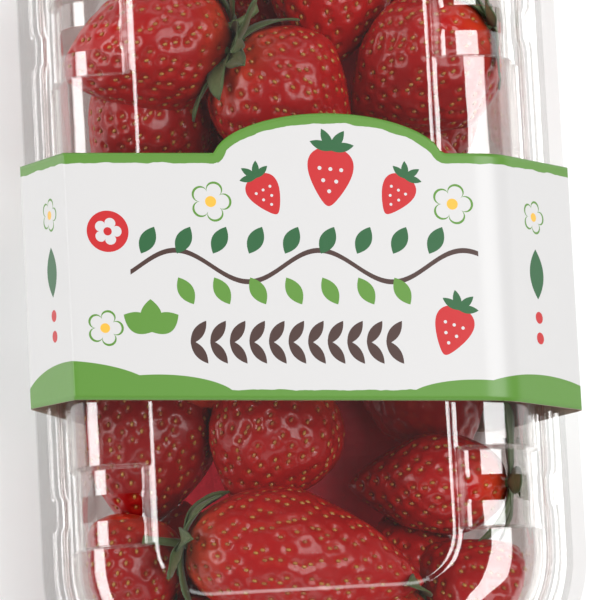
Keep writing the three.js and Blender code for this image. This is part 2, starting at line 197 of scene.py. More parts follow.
# The berries that the clear lid shows: middle, length and width, heading from calyx to tip,
# dip of the tip, leaflets, and how ripe each is from 0, orange, to 1, deep red
SHOWN_BERRIES = [
    ((-31, 52, 47), (42, 31), -168, 6, 7, 0.65),
    ((-33, 37, 34), (33, 29), -137, 20, 0, 0.75),
    ((-1, 39, 46), (37, 33), -40, 22, 8, 0.6),
    ((10, 64, 41), (36, 29), -96, 4, 7, 0.3),
    ((30, 45, 46), (38, 34), -152, 12, 7, 0.7),
    ((25, 24, 33), (30, 26), 95, 0, 0, 0.5),
    ((-36, -34, 33), (42, 33), -99, 10, 0, 1.0),
    ((-8, -36, 42), (35, 31), -119, 14, 0, 0.7),
    ((-3, -64, 47), (55, 34), -12, 4, 7, 0.6),
    ((27, -47, 33), (38, 25), 177, 12, 6, 0.6),
    ((-41, -64, 39), (30, 26), -104, 12, 0, 0.85),
    ((-29, -62, 25), (30, 25), 88, 8, 6, 0.9),
    ((22, -66, 26), (30, 26), 108, 8, 0, 0.75),
    ((36, -72, 36), (34, 28), 141, 10, 0, 0.7),
]

# Rows of berries under the sleeve, at the pack's ends and on its floor: y, z, xs, and whether they are fine
HIDDEN_ROWS = [
    (9, 40, (-30, -4, 36), False),
    (-13, 40, (-20, 11, 36), False),
    (78, 42, (-27, 0, 29), True),
    (-84, 38, (-22, 13), True),
    (68, 19, (-26, 1, 27), True),
    (37, 19, (-28, 28), True),
    (6, 19, (-28, 28), False),
    (-24, 19, (-28, 28), False),
    (-74, 19, (-24, 4, 27), True),
]
ROW_BERRY_SIZE = (33, 28)
ROW_SEED = 5
UNEVEN_SEED = 11

# The rule that draws the hidden berries' places, sizes and headings
DRAW_STEP = 16807
DRAW_RANGE = 2147483647

# The clear sheet's mirror share and its haze, face on and what edge on adds
MIRROR = (0.075, 0.80)
HAZE = (0.001, 0.16)

# Soft lights, in metres. The lower ones share one size, and each has a share of their power
LIGHT_AIM = (0, 0, 0.05)
KEY_PLACE = (0.62, 0.05, 1.06)
KEY_SIZE = (1.0, 1.0)
SIDE_SIZE = (1.2, 0.6)
SIDE_LIGHTS = [
    ("left_key", (-1.15, 0.05, 0.55), 3.0),
    ("near_fill", (0, -1.2, 0.65), 1.0),
    ("far_fill", (0, 1.2, 0.65), 1.0),
]

# The photograph's view: the eye's place, the point at the picture's middle, and the picture's turn
EYE = (-1.3, -126.1, 1052.1)
AIM = (-0.14, -7.46, 60)
VIEW_TURN = math.radians(2.45)
LENS = 274.5
SENSOR = 36


def colour_setting(name, description, default):
    """A colour that the panel shows."""
    return bpy.props.FloatVectorProperty(
        name=name, description=description, subtype="COLOR", size=3, default=default
    )


def size_setting(name, description, millimetres):
    """A size that the panel shows."""
    return bpy.props.FloatProperty(
        name=name, description=description, default=millimetres * MM, unit="LENGTH"
    )


def power_setting(name, description, default):
    """A light's power that the panel shows."""
    return bpy.props.FloatProperty(name=name, description=description, default=default, unit="POWER")


class PunnetPackSettings(bpy.types.PropertyGroup):
    """Sizes and colours of the clear plastic and the pad."""

    wall: size_setting("Wall", "Thickness of the clear sheet", 0.45)
    face_tint: colour_setting("Face tint", "What the sheet lets through face on", (0.97, 0.97, 0.968))
    edge_tint: colour_setting("Edge tint", "What the sheet lets through edge on", (0.60, 0.55, 0.51))
    pad_colour: colour_setting("Pad colour", "Crimson of the liner pad", (0.80, 0.016, 0.045))


class PunnetCardSettings(bpy.types.PropertyGroup):
    """Colours of the printed sleeve."""

    card: colour_setting("Card", "Coated white of the card", (0.58, 0.573, 0.571))
    board: colour_setting("Board", "Raw inner face of the card", (0.42, 0.35, 0.27))
    green: colour_setting("Green", "Green ink", (0.090, 0.235, 0.026))
    deep_green: colour_setting("Deep green", "Dark green ink", (0.009, 0.095, 0.024))
    brown: colour_setting("Brown", "Brown ink", (0.048, 0.018, 0.013))
    red: colour_setting("Red", "Red ink", (0.48, 0.006, 0.009))
    border: size_setting("Border", "Width of the green border", 2.2)


class PunnetFruitSettings(bpy.types.PropertyGroup):
    """Sizes and colours of the berries."""

    pip_spacing: size_setting("Pip spacing", "Distance between pips", 3.6)
    dimple: size_setting("Dimple", "How deep each pip sits", 0.82)
    ripe: colour_setting("Ripe", "Deep red of ripe skin", (0.27, 0.0015, 0.0025))
    bright: colour_setting("Bright", "Bright red of skin", (0.50, 0.0035, 0.0035))
    orange: colour_setting("Orange", "Paler skin by the calyx", (0.72, 0.085, 0.025))
    pip: colour_setting("Pip", "Colour of the pips", (0.50, 0.23, 0.045))
    leaf: colour_setting("Leaf", "Green of the leaflets", (0.045, 0.080, 0.022))


class PunnetStageSettings(bpy.types.PropertyGroup):
    """Floor and lights."""

    floor: colour_setting("Floor", "Pale floor", (0.96, 0.96, 0.96))
    key: power_setting("Key", "Power of the large soft light on the right", 17.4)
    side: power_setting("Fill", "Power of each lower light round the pack", 4.4)
    sky: bpy.props.FloatProperty(
        name="Sky", description="Strength of the even light all round", default=0.08
    )


def smooth(value):
    """0 below 0, 1 above 1, and a smooth rise between."""
    value = min(max(value, 0), 1)
    return value * value * (3 - 2 * value)


def between(low, high, share):
    """The value at a share of the way from low to high."""
    return low + (high - low) * share


def add_piece(bm, name, materials, replaces=(), sharp=None):
    """A bmesh in millimetres becomes a finished piece that rides on the pack."""
    bmesh.ops.scale(bm, vec=(MM, MM, MM), verts=bm.verts)
    mesh = bpy.data.meshes.new(name)
    bm.to_mesh(mesh)
    bm.free()
    mesh.shade_smooth()
    if sharp is not None:
        mesh.set_sharp_from_angle(angle=math.radians(sharp))
    for material in materials:
        mesh.materials.append(material)
    piece = bpy.data.objects.new(name, mesh)
    bpy.context.scene.collection.objects.link(piece)
    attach(piece, "root")
    if replaces:
        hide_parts(*replaces)
    return piece


# Material helpers


def new_material(name):
    """An empty node material and its output."""
    material = bpy.data.materials.new(name)
    material.use_nodes = True
    tree = material.node_tree
    tree.nodes.clear()
    return material, tree, tree.nodes.new("ShaderNodeOutputMaterial")


def node(tree, kind, inputs=None, **settings):
    """Adds a node, with its settings, and links or sets its inputs."""
    made = tree.nodes.new("ShaderNode" + kind)
    for name, value in settings.items():
        setattr(made, name, value)
    for name, value in (inputs or {}).items():
        if isinstance(value, bpy.types.NodeSocket):
            tree.links.new(value, made.inputs[name])
        else:
            made.inputs[name].default_value = value
    return made


def maths(tree, operation, first, second=0.0, third=0.0):
    """The result of one Math node."""
    inputs = {0: first, 1: second, 2: third}
    return node(tree, "Math", inputs, operation=operation).outputs[0]


def ramp(tree, value, low, high):
    """0 to 1 as a value goes from low to high, smoothly."""
    made = node(
        tree, "MapRange", {"Value": value, "From Min": low, "From Max": high},
        interpolation_type="SMOOTHSTEP",
    )
    return made.outputs["Result"]


def blend(tree, share, first, second):
    """A colour between two colours, or over one by a mask."""
    made = tree.nodes.new("ShaderNodeMix")
    made.data_type = "RGBA"
    for index, value in ((0, share), (6, first), (7, second)):
        if isinstance(value, bpy.types.NodeSocket):
            tree.links.new(value, made.inputs[index])
        elif index:
            made.inputs[index].default_value = (*value, 1)
        else:
            made.inputs[index].default_value = value
    return made.outputs[2]


def finish_surface(tree, output, inputs):
    """Gives a material its Principled surface."""
    surface = node(tree, "BsdfPrincipled", inputs).outputs[0]
    tree.links.new(surface, output.inputs["Surface"])


def object_places(tree):
    """Object coordinates."""
    return node(tree, "TexCoord").outputs["Object"]


def noise_value(tree, vector, scale, detail=2.0, rough=0.5):
    """A soft noise from 0 to 1. The scale is in waves for each metre."""
    inputs = {"Vector": vector, "Scale": scale, "Detail": detail, "Roughness": rough}
    return node(tree, "TexNoise", inputs).outputs["Fac"]


def bump(tree, height, strength, distance):
    """A normal bent by a height. The distance is in metres."""
    return node(tree, "Bump", {"Height": height, "Strength": strength, "Distance": distance}).outputs[0]


def attribute(tree, name):
    """A number kept on the mesh's points."""
    return node(tree, "Attribute", attribute_name=name).outputs["Fac"]


def clear_plastic(name, pack):
    """Thin clear sheet. It mirrors by its facing, alike on both sides, as light goes straight through it."""
    material, tree, output = new_material(name)
    places = object_places(tree)
    wave = noise_value(tree, places, 55, 2)
    wavy = bump(tree, wave, 0.5, 0.0006)
    facing = node(tree, "LayerWeight", {"Blend": 0.5}).outputs["Facing"]
    edge_on = maths(tree, "POWER", facing, 3.2)
    through = blend(tree, edge_on, tuple(pack.face_tint), tuple(pack.edge_tint))
    clear = node(tree, "BsdfTransparent", {"Color": through}).outputs[0]
    mirror = node(
        tree, "BsdfGlossy", {"Color": (1, 1, 1, 1), "Roughness": 0.05, "Normal": wavy}
    ).outputs[0]
    gloss = maths(tree, "MULTIPLY_ADD", maths(tree, "POWER", facing, 5.0), MIRROR[1], MIRROR[0])
    milk = node(tree, "BsdfDiffuse", {"Color": (0.9, 0.89, 0.88, 1)}).outputs[0]
    haze = maths(tree, "MULTIPLY_ADD", maths(tree, "POWER", facing, 3.0), HAZE[1], HAZE[0])
    body = node(tree, "MixShader", {0: haze, 1: clear, 2: milk}).outputs[0]
    made = node(tree, "MixShader", {0: gloss, 1: body, 2: mirror}).outputs[0]
    tree.links.new(made, output.inputs["Surface"])
    return material


def berry_skin(fruit):
    """Moist red skin, paler by the calyx, with a painted highlight that turns it paler round each pip,
    shallow pores and a clear coat of moisture.
    """
    material, tree, output = new_material("berry_skin")
    places = object_places(tree)
    along = attribute(tree, "along")
    ripeness = attribute(tree, "ripeness")
    cloud = noise_value(tree, places, 90, 3)
    red = blend(tree, maths(tree, "MULTIPLY_ADD", cloud, 0.9, -0.45), tuple(fruit.bright), tuple(fruit.ripe))
    red = blend(tree, ripeness, red, tuple(fruit.ripe))
    body = blend(tree, maths(tree, "MULTIPLY_ADD", ripeness, 0.75, 0.1), tuple(fruit.bright), red)
    near_calyx = ramp(tree, maths(tree, "MULTIPLY_ADD", cloud, 0.2, along), 0.86, 1.08)
    unripe = maths(tree, "SUBTRACT", 1.15, ripeness)
    skin = blend(tree, maths(tree, "MULTIPLY", near_calyx, unripe), body, tuple(fruit.orange))
    dimple = attribute(tree, "dimple")
    # Painted highlight: the skin turns up to a quarter of the way to orange in each pip's dimple, most near
    # the pip.
    pip_painted_highlight = blend(tree, maths(tree, "MULTIPLY", dimple, 0.25), skin, tuple(fruit.orange))
    pores = noise_value(tree, places, 1400, 2)
    finish_surface(tree, output, {
        "Base Color": pip_painted_highlight, "Roughness": 0.36, "Specular IOR Level": 0.3,
        "Coat Weight": 0.5, "Coat Roughness": 0.1, "Subsurface Weight": 0.18,
        "Subsurface Radius": (1.0, 0.22, 0.12), "Subsurface Scale": 0.003,
        "Normal": bump(tree, pores, 0.25, 0.0002),
    })
    return material


def pip_shell(fruit):
    """Yellow to brown pips."""
    material, tree, output = new_material("berry_pip")
    places = object_places(tree)
    shade = noise_value(tree, places, 260, 1)
    colour = blend(tree, ramp(tree, shade, 0.35, 0.7), tuple(fruit.pip), (0.36, 0.09, 0.016))
    finish_surface(tree, output, {"Base Color": colour, "Roughness": 0.4, "Coat Weight": 0.3})
    return material


def leaf_skin(fruit):
    """Soft green leaflets, paler along their middle, with fine veins."""
    material, tree, output = new_material("berry_leaf")
    places = object_places(tree)
    cloud = noise_value(tree, places, 120, 3)
    middle = attribute(tree, "middle")
    pale = (0.17, 0.21, 0.07)
    colour = blend(tree, ramp(tree, cloud, 0.3, 0.75), tuple(fruit.leaf), (0.085, 0.125, 0.035))
    colour = blend(tree, maths(tree, "MULTIPLY", middle, 0.6), colour, pale)
    veins = noise_value(tree, places, 900, 3)
    finish_surface(tree, output, {
        "Base Color": colour, "Roughness": 0.55, "Sheen Weight": 0.15,
        "Normal": bump(tree, veins, 0.4, 0.0003),
    })
    return material


def pad_weave(pack):
    """Crimson pad with a close pattern of soft bubbles."""
    material, tree, output = new_material("pad_bubbles")
    places = object_places(tree)
    cells = node(
        tree, "TexVoronoi", {"Vector": places, "Scale": 330, "Randomness": 0.25}, feature="F1"
    ).outputs["Distance"]
    cloud = noise_value(tree, places, 60, 3)
    colour = blend(tree, ramp(tree, cloud, 0.3, 0.75), tuple(pack.pad_colour), (0.60, 0.010, 0.030))
    finish_surface(tree, output, {
        "Base Color": colour, "Roughness": 0.5, "Normal": bump(tree, cells, 0.5, -0.0004),
    })
    return material


# Printed motifs of the sleeve, as masks worked out from the card's own coordinates in millimetres


class CardPrint:
    """Simple printed shapes as masks, laid over each other as inks."""

    def __init__(self, tree, ground):
        self.tree = tree
        card = node(tree, "UVMap", uv_map="card").outputs[0]
        self.place = node(tree, "VectorMath", {0: card, 3: CARD_UNIT}, operation="SCALE").outputs[0]
        split = node(tree, "SeparateXYZ", {0: self.place})
        self.across = split.outputs[0]
        self.along = split.outputs[1]
        self.colour = ground

    def maths(self, operation, *values):
        """The result of one Math node."""
        return maths(self.tree, operation, *values)

    def squares(self, u, v):
        """The squares of two coordinates, added up."""
        return self.maths("MULTIPLY_ADD", u, u, self.maths("MULTIPLY", v, v))

    def ink(self, mask, colour):
        """Lays an ink over what is printed so far."""
        self.colour = blend(self.tree, mask, self.colour, colour)

    def local(self, x, y, length, width, turn, place=None):
        """A shape's own coordinates, 1 at the end of its length and of its width."""
        mapped = node(
            self.tree, "Mapping",
            {
                "Vector": place or self.place, "Location": (x, y, 0),
                "Rotation": (0, 0, math.radians(turn)), "Scale": (length / 2, width / 2, 1),
            },
            vector_type="TEXTURE",
        ).outputs[0]
        split = node(self.tree, "SeparateXYZ", {0: mapped})
        return split.outputs[0], split.outputs[1]

    def repeated(self, period):
        """Coordinates that start again at each period across the card."""
        wrapped = self.maths("WRAP", self.across, period / 2, -period / 2)
        return node(self.tree, "CombineXYZ", {0: wrapped, 1: self.along}).outputs[0]

    def disc(self, x, y, length, width=None):
        """A disc or an oval."""
        u, v = self.local(x, y, length, width or length, 0)
        return self.maths("LESS_THAN", self.squares(u, v), 1.0)

    def leaf(self, x, y, length, width, turn, place=None):
        """A pointed leaf."""
        u, v = self.local(x, y, length, width, turn, place)
        room = self.maths("SUBTRACT", 1.0, self.maths("MULTIPLY", u, u))
        return self.maths("LESS_THAN", self.maths("ABSOLUTE", v), room)

    def berry(self, x, y, length, width, turn):
        """A berry with its tip towards minus its length."""
        u, v = self.local(x, y, length, width, turn)
        swell = self.maths("MULTIPLY_ADD", u, 0.42, 0.85)
        round_part = self.maths("SUBTRACT", 1.0, self.maths("MULTIPLY", u, u))
        room = self.maths("MULTIPLY", round_part, self.maths("MULTIPLY", swell, swell))
        return self.maths("LESS_THAN", self.maths("MULTIPLY", v, v), room)

    def blossom(self, x, y, size, petals=5):
        """A flower with round petals."""
        u, v = self.local(x, y, size, size, 0)
        angle = self.maths("ARCTAN2", v, u)
        turn = self.maths("MULTIPLY", angle, petals / 2)
        lobe = self.maths("ABSOLUTE", self.maths("COSINE", turn))
        edge = self.maths("MULTIPLY_ADD", self.maths("POWER", lobe, 0.5), 0.45, 0.55)
        reach = self.maths("SQRT", self.squares(u, v))
        return self.maths("LESS_THAN", reach, edge)

    def band(self, low, high):
        """1 between two places across the card."""
        return self.maths("COMPARE", self.across, (low + high) / 2, (high - low) / 2)

    def vine(self, y, rise, period, shift, width, low, high):
        """A waving line between two places across the card."""
        turn = self.maths("MULTIPLY_ADD", self.across, 2 * math.pi / period, shift)
        line = self.maths("MULTIPLY_ADD", self.maths("SINE", turn), rise, y)
        near = self.maths("COMPARE", self.along, line, width / 2)
        return self.maths("MULTIPLY", near, self.band(low, high))

    def limited(self, mask, low, high):
        """A mask kept only between two places across the card."""
        return self.maths("MULTIPLY", mask, self.band(low, high))


def print_strawberry(card, inks, x, y, length, turn):
    """A plain strawberry: red body, pale pips and green leaflets."""
    heading = math.radians(turn)
    card.ink(card.berry(x, y, length, length * 0.82, turn), inks.red[:])
    for along, side in ((0.25, -0.5), (0.25, 0.0), (0.25, 0.5), (-0.15, -0.3), (-0.15, 0.3), (-0.5, 0.0)):
        u = along * length / 2
        v = side * length * 0.36
        pip_x = x + u * math.cos(heading) - v * math.sin(heading)
        pip_y = y + u * math.sin(heading) + v * math.cos(heading)
        card.ink(card.disc(pip_x, pip_y, length * 0.065), inks.card[:])
    top_x = x + math.cos(heading) * length * 0.46
    top_y = y + math.sin(heading) * length * 0.46
    for swing in (-75, -30, 30, 75):
        lean = math.radians(turn + swing)
        reach = length * 0.17
        card.ink(
            card.leaf(
                top_x + reach * math.cos(lean), top_y + reach * math.sin(lean),
                length * 0.42, length * 0.16, turn + swing,
            ),
            inks.deep_green[:],
        )


def print_blossom(card, inks, x, y, size):
    """A white blossom with a green outline and a golden middle."""
    card.ink(card.blossom(x, y, size + 1.0), inks.green[:])
    card.ink(card.blossom(x, y, size), inks.card[:])
    card.ink(card.disc(x, y, size * 0.3), (0.75, 0.42, 0.04))


def print_ground(card, inks):
    """What both halves of the card share: hills, a vine with its leaves, and two rows of small leaves."""
    for x, length, height in ((-52, 46, 17), (-30, 34, 11), (38, 30, 9), (58, 44, 13)):
        card.ink(card.disc(x, 0, length, height), inks.green[:])
    card.ink(card.vine(29, 3.4, 31, 0.4, 1.1, -35, 40), inks.brown[:])
    step = 7.75
    upper = card.limited(card.leaf(0, 34.6, 6.6, 3.4, 62, card.repeated(step)), -4.5 * step, 4.5 * step)
    lower = card.limited(card.leaf(0, 23.6, 6.6, 3.4, 118, card.repeated(step)), -3.5 * step, 3.5 * step)
    card.ink(upper, inks.deep_green[:])
    card.ink(lower, inks.green[:])
    step = 4.2
    for y, turn in ((14.6, 55), (10.4, -55)):
        ear = card.leaf(0, y, 6.2, 2.3, turn, card.repeated(step))
        card.ink(card.limited(ear, -5.5 * step, 5.5 * step), inks.brown[:])


def print_flank(card, inks, x):
    """A blossom over a leaf and two berries, where the card slopes down."""
    print_blossom(card, inks, x, 41.0, 6.5)
    card.ink(card.leaf(x, 28.5, 11.0, 5.0, 90), inks.deep_green[:])
    for y in (14.5, 19.0):
        card.ink(card.disc(x, y, 2.6), inks.red[:])


def print_left(card, inks):
    """The left half's own motifs."""
    print_strawberry(card, inks, -5.0, 44.5, 9.5, 118)
    print_blossom(card, inks, -17.0, 43.0, 8.0)
    print_blossom(card, inks, -41.0, 15.5, 7.0)
    card.ink(card.disc(-39.5, 36.5, 9.0), inks.red[:])
    card.ink(card.blossom(-39.5, 36.5, 6.0), inks.card[:])
    card.ink(card.disc(-39.5, 36.5, 1.8), inks.red[:])
    for turn in (30, 90, 150):
        lean = math.radians(turn)
        leaf = card.leaf(-31 + 3.2 * math.cos(lean), 15 + 3.2 * math.sin(lean), 7.2, 4.6, turn)
        card.ink(leaf, inks.green[:])
    print_flank(card, inks, -57)


def print_right(card, inks):
    """The right half's own motifs."""
    print_strawberry(card, inks, 9.0, 48.5, 13.0, 84)
    print_strawberry(card, inks, 23.0, 44.5, 9.5, 60)
    print_blossom(card, inks, 35.0, 42.5, 8.0)
    print_strawberry(card, inks, 33.5, 15.0, 11.0, 70)
    print_flank(card, inks, 57)


def printed_card(inks, name, motifs):
    """Coated white card with a green border and a plain printed design. One tree holds half the design."""
    material, tree, output = new_material(name)
    places = object_places(tree)
    fibre = noise_value(tree, places, 500, 3)
    ground = blend(tree, maths(tree, "MULTIPLY", fibre, 0.12), inks.card[:], (0.55, 0.54, 0.53))
    card = CardPrint(tree, ground)
    print_ground(card, inks)
    motifs(card, inks)

    edge = attribute(tree, "edge")
    ripple = noise_value(tree, card.place, 0.22, 2)
    width = maths(tree, "MULTIPLY_ADD", ripple, 1.1, inks.border / MM - 0.55)
    card.ink(maths(tree, "LESS_THAN", edge, width), inks.green[:])

    finish_surface(tree, output, {
        "Base Color": card.colour, "Roughness": 0.45, "Coat Weight": 0.2, "Coat Roughness": 0.2,
        "Normal": bump(tree, fibre, 0.12, 0.0002),
    })
    return material


def raw_board(inks):
    """The grey-brown inner face of the card."""
    material, tree, output = new_material("raw_board")
    places = object_places(tree)
    fibre = noise_value(tree, places, 700, 4)
    colour = blend(tree, fibre, inks.board[:], (0.30, 0.24, 0.18))
    finish_surface(tree, output, {
        "Base Color": colour, "Roughness": 0.8, "Normal": bump(tree, fibre, 0.3, 0.0002),
    })
    return material


# Rings of the pack


def ring_sizes(inset):
    """Half sizes and corner radius of the rounded rectangle at an inset from the flange's edge."""
    half_x = FLANGE_HALF_X - inset
    half_y = FLANGE_HALF_Y - inset * END_RATE
    return half_x, half_y, max(FLANGE_CORNER - inset * CORNER_RATE, CORNER_LEAST)


def notch_rows():
    """Places along a long side, from the middle to its end, close together at a notch and its slot."""
    rows = list(SIDE_ROWS)
    side = [share * NOTCH_SIDE for share in (-0.5, -0.3, -0.1, 0.1, 0.3, 0.5)]
    slot = [share * SLOT_HALF_Y for share in (0, 0.22, 0.46, 0.6, 0.75, 0.88, 1)]
    floor = [between(SLOT_HALF_Y, NOTCH_HALF_Y, share) for share in (0.2, 0.5, 0.8)]
    away = sorted({*slot, *floor, *(NOTCH_HALF_Y + step for step in side)})
    rows += [NOTCH_Y - step for step in reversed(away) if step > 0]
    return rows + [NOTCH_Y + step for step in away]


def ring_stations(corner_steps=14, end_steps=10):
    """The stops of a ring, once round, as kind, side of X, side of Y and place along the kind's stretch."""
    rows = notch_rows()
    full = [-row for row in reversed(rows) if row > 0] + rows
    arc = [math.pi / 2 * i / corner_steps for i in range(1, corner_steps)]
    ends = [1 - 2 * i / end_steps for i in range(end_steps + 1)]
    stations = [("side", 1, 0, row) for row in full]
    stations += [("corner", 1, 1, angle) for angle in [0, *arc]]
    stations += [("end", 0, 1, share) for share in ends]
    stations += [("corner", -1, 1, angle) for angle in [*reversed(arc), 0]]
    stations += [("side", -1, 0, row) for row in reversed(full)]
    stations += [("corner", -1, -1, angle) for angle in [0, *arc]]
    stations += [("end", 0, -1, -share) for share in ends]
    stations += [("corner", 1, -1, angle) for angle in [*reversed(arc), 0]]
    return stations


def station_place(station, inset):
    """Where a station is on the ring at an inset, about the pack's middle."""
    kind, side_x, side_y, value = station
    half_x, half_y, corner = ring_sizes(inset)
    if kind == "side":
        limit = half_y - corner
        return side_x * half_x, min(max(value, -limit), limit)
    if kind == "end":
        return value * (half_x - corner), side_y * half_y
    across = half_x - corner + corner * math.cos(value)
    return side_x * across, side_y * (half_y - corner + corner * math.sin(value))


def grown_ring(bm, edges):
    """The points and edges of the next ring, grown from the edges of the last one."""
    grown = bmesh.ops.extrude_edge_only(bm, edges=edges)["geom"]
    points = [part for part in grown if isinstance(part, bmesh.types.BMVert)]
    fresh = set(points)
    next_edges = [
        part for part in grown
        if isinstance(part, bmesh.types.BMEdge) and fresh.issuperset(part.verts)
    ]
    return points, next_edges


def lofted(levels, place):
    """A skin through rings. place gives the point of a station at a level, and the last ring is closed."""
    bm = bmesh.new()
    station_tag = bm.verts.layers.int.new("station")
    level_tag = bm.verts.layers.int.new("level")
    stations = ring_stations()
    ring = []
    for i, station in enumerate(stations):
        made = bm.verts.new(place(station, 0))
        made[station_tag] = i
        ring.append(made)
    edges = [bm.edges.new((ring[i - 1], ring[i])) for i in range(len(ring))]
    for level in range(1, levels):
        points, edges = grown_ring(bm, edges)
        for vert in points:
            vert.co = place(stations[vert[station_tag]], level)
            vert[level_tag] = level
    bmesh.ops.contextual_create(bm, geom=edges)
    return bm, stations, station_tag, level_tag


def sheet_of(bm, thickness):
    """Gives a skin its thickness, on its inner side."""
    bmesh.ops.remove_doubles(bm, verts=bm.verts, dist=1e-4)
    bmesh.ops.recalc_face_normals(bm, faces=bm.faces)
    bmesh.ops.solidify(bm, geom=bm.faces[:], thickness=thickness)


def arc_points(middle, radius_x, radius_y, start, end, steps):
    """Points of an arc of an ellipse, with its angles in degrees."""
    points = []
    for i in range(steps + 1):
        angle = math.radians(between(start, end, i / steps))
        points.append((middle[0] + radius_x * math.cos(angle), middle[1] + radius_y * math.sin(angle)))
    return points


def tray_profile():
    """The tray's outer face in inset and height, from the middle of its base to the flange."""
    foot_x, foot_z = TRAY_FOOT
    top_x, top_z = TRAY_WALL_TOP
    base = arc_points((foot_x + TRAY_BASE_EDGE, foot_z), TRAY_BASE_EDGE, foot_z - TRAY_BASE_Z, 270, 180, 8)
    wall = [(between(foot_x, top_x, share), between(foot_z, top_z, share)) for share in (0.25, 0.5, 0.75)]
    turn = TRAY_STEP_ROUND
    step = arc_points((top_x - turn, top_z), turn, turn, 0, 90, 4)
    rise = arc_points((TRAY_NECK_INSET + 2, top_z + 2 * turn), turn, turn, 270, 180, 4)
    under_z = TRAY_TOP_Z - FLANGE_THICK
    bend = TRAY_NECK_ROUND
    neck = arc_points((TRAY_NECK_INSET, under_z - bend), bend, bend, 0, 90, 4)
    middle = (foot_x + TRAY_BASE_EDGE + 8, TRAY_BASE_Z)
    return [middle, *base, *wall, *step, *rise, *neck, (TRAY_NECK_INSET / 2, under_z), (0.0, under_z)]


def tray_skin():
    """The tray's skin, with the hinge strip along the flange at +X."""
    profile = tray_profile()
    profile.reverse()

    def place(station, level):
        inset, z = profile[level]
        x, y = station_place(station, inset)
        if station[0] != "end" and station[1] > 0 and inset == 0:
            x += HINGE_STRIP * smooth((HINGE_HALF_Y - abs(y)) / HINGE_END_TAPER)
        return Vector((x + BODY_X, y, z))

    return lofted(len(profile), place)[0]


def lid_profile(drop, draw):
    """The lid's outer face in inset and height, from the flange to the panel. A notch drops and draws it."""
    flange_z = LID_FLANGE_Z
    edge = FLANGE_ROUND
    outer = arc_points((BEAD_OUTER - 0.3, flange_z + edge), edge, edge, 270, 360, 3)
    bead = BEAD_ROUND
    bead_z = BEAD_TOP_Z - bead
    rise = arc_points((BEAD_OUTER + 1.1, bead_z), bead, bead, 180, 90, 4)
    fall = arc_points((BEAD_INNER - 1.2, bead_z), bead, bead, 90, 0, 4)
    dip = GROOVE_ROUND
    groove = arc_points((BEAD_INNER + 0.2, GROOVE_Z + dip), dip, dip, 180, 270, 3)
    foot = arc_points((LID_WALL_FOOT + draw - dip, GROOVE_Z + dip), dip, dip, 270, 360, 3)
    wall_x = LID_WALL_FOOT + LID_WALL_LEAN + draw
    wall_z = LID_SHOULDER_Z - SHOULDER_RISE - drop / 2
    shoulder_z = LID_SHOULDER_Z - drop
    shoulder = arc_points(
        (wall_x + SHOULDER_ROUND, wall_z), SHOULDER_ROUND, shoulder_z - wall_z, 180, 90, SHOULDER_STEPS
    )
    flat = []
    start = wall_x + SHOULDER_ROUND
    end = PANEL_INSET - PANEL_EDGE
    for i in range(1, SHOULDER_FLAT_STEPS + 1):
        inset = between(start, end, i / SHOULDER_FLAT_STEPS)
        rise_share = smooth((inset - NOTCH_RAMP[0]) / (NOTCH_RAMP[1] - NOTCH_RAMP[0]))
        flat.append((inset, LID_SHOULDER_Z - drop * (1 - rise_share)))
    panel = [
        (PANEL_INSET - PANEL_EDGE * 0.7, LID_SHOULDER_Z + 0.08),
        (PANEL_INSET - PANEL_EDGE * 0.3, LID_TOP_Z - 0.08),
        (PANEL_INSET, LID_TOP_Z),
        (PANEL_INSET + 0.8, LID_TOP_Z),
    ]
    profile = [(LID_EDGE_INSET, flange_z), (1.6, flange_z), *outer, *rise, *fall, *groove, *foot]
    start_x, start_z = profile[-1]
    wall = [
        (between(start_x, wall_x, share), between(start_z, wall_z, share)) for share in (0.35, 0.7)
    ]
    return profile + wall + shoulder + flat + panel, len(profile) + len(wall)


def profile_at(profile, level):
    """A point of a profile at a level that may lie between two of its points."""
    low = min(int(level), len(profile) - 2)
    share = level - low
    (x0, z0), (x1, z1) = profile[low], profile[low + 1]
    return between(x0, x1, share), between(z0, z1, share)


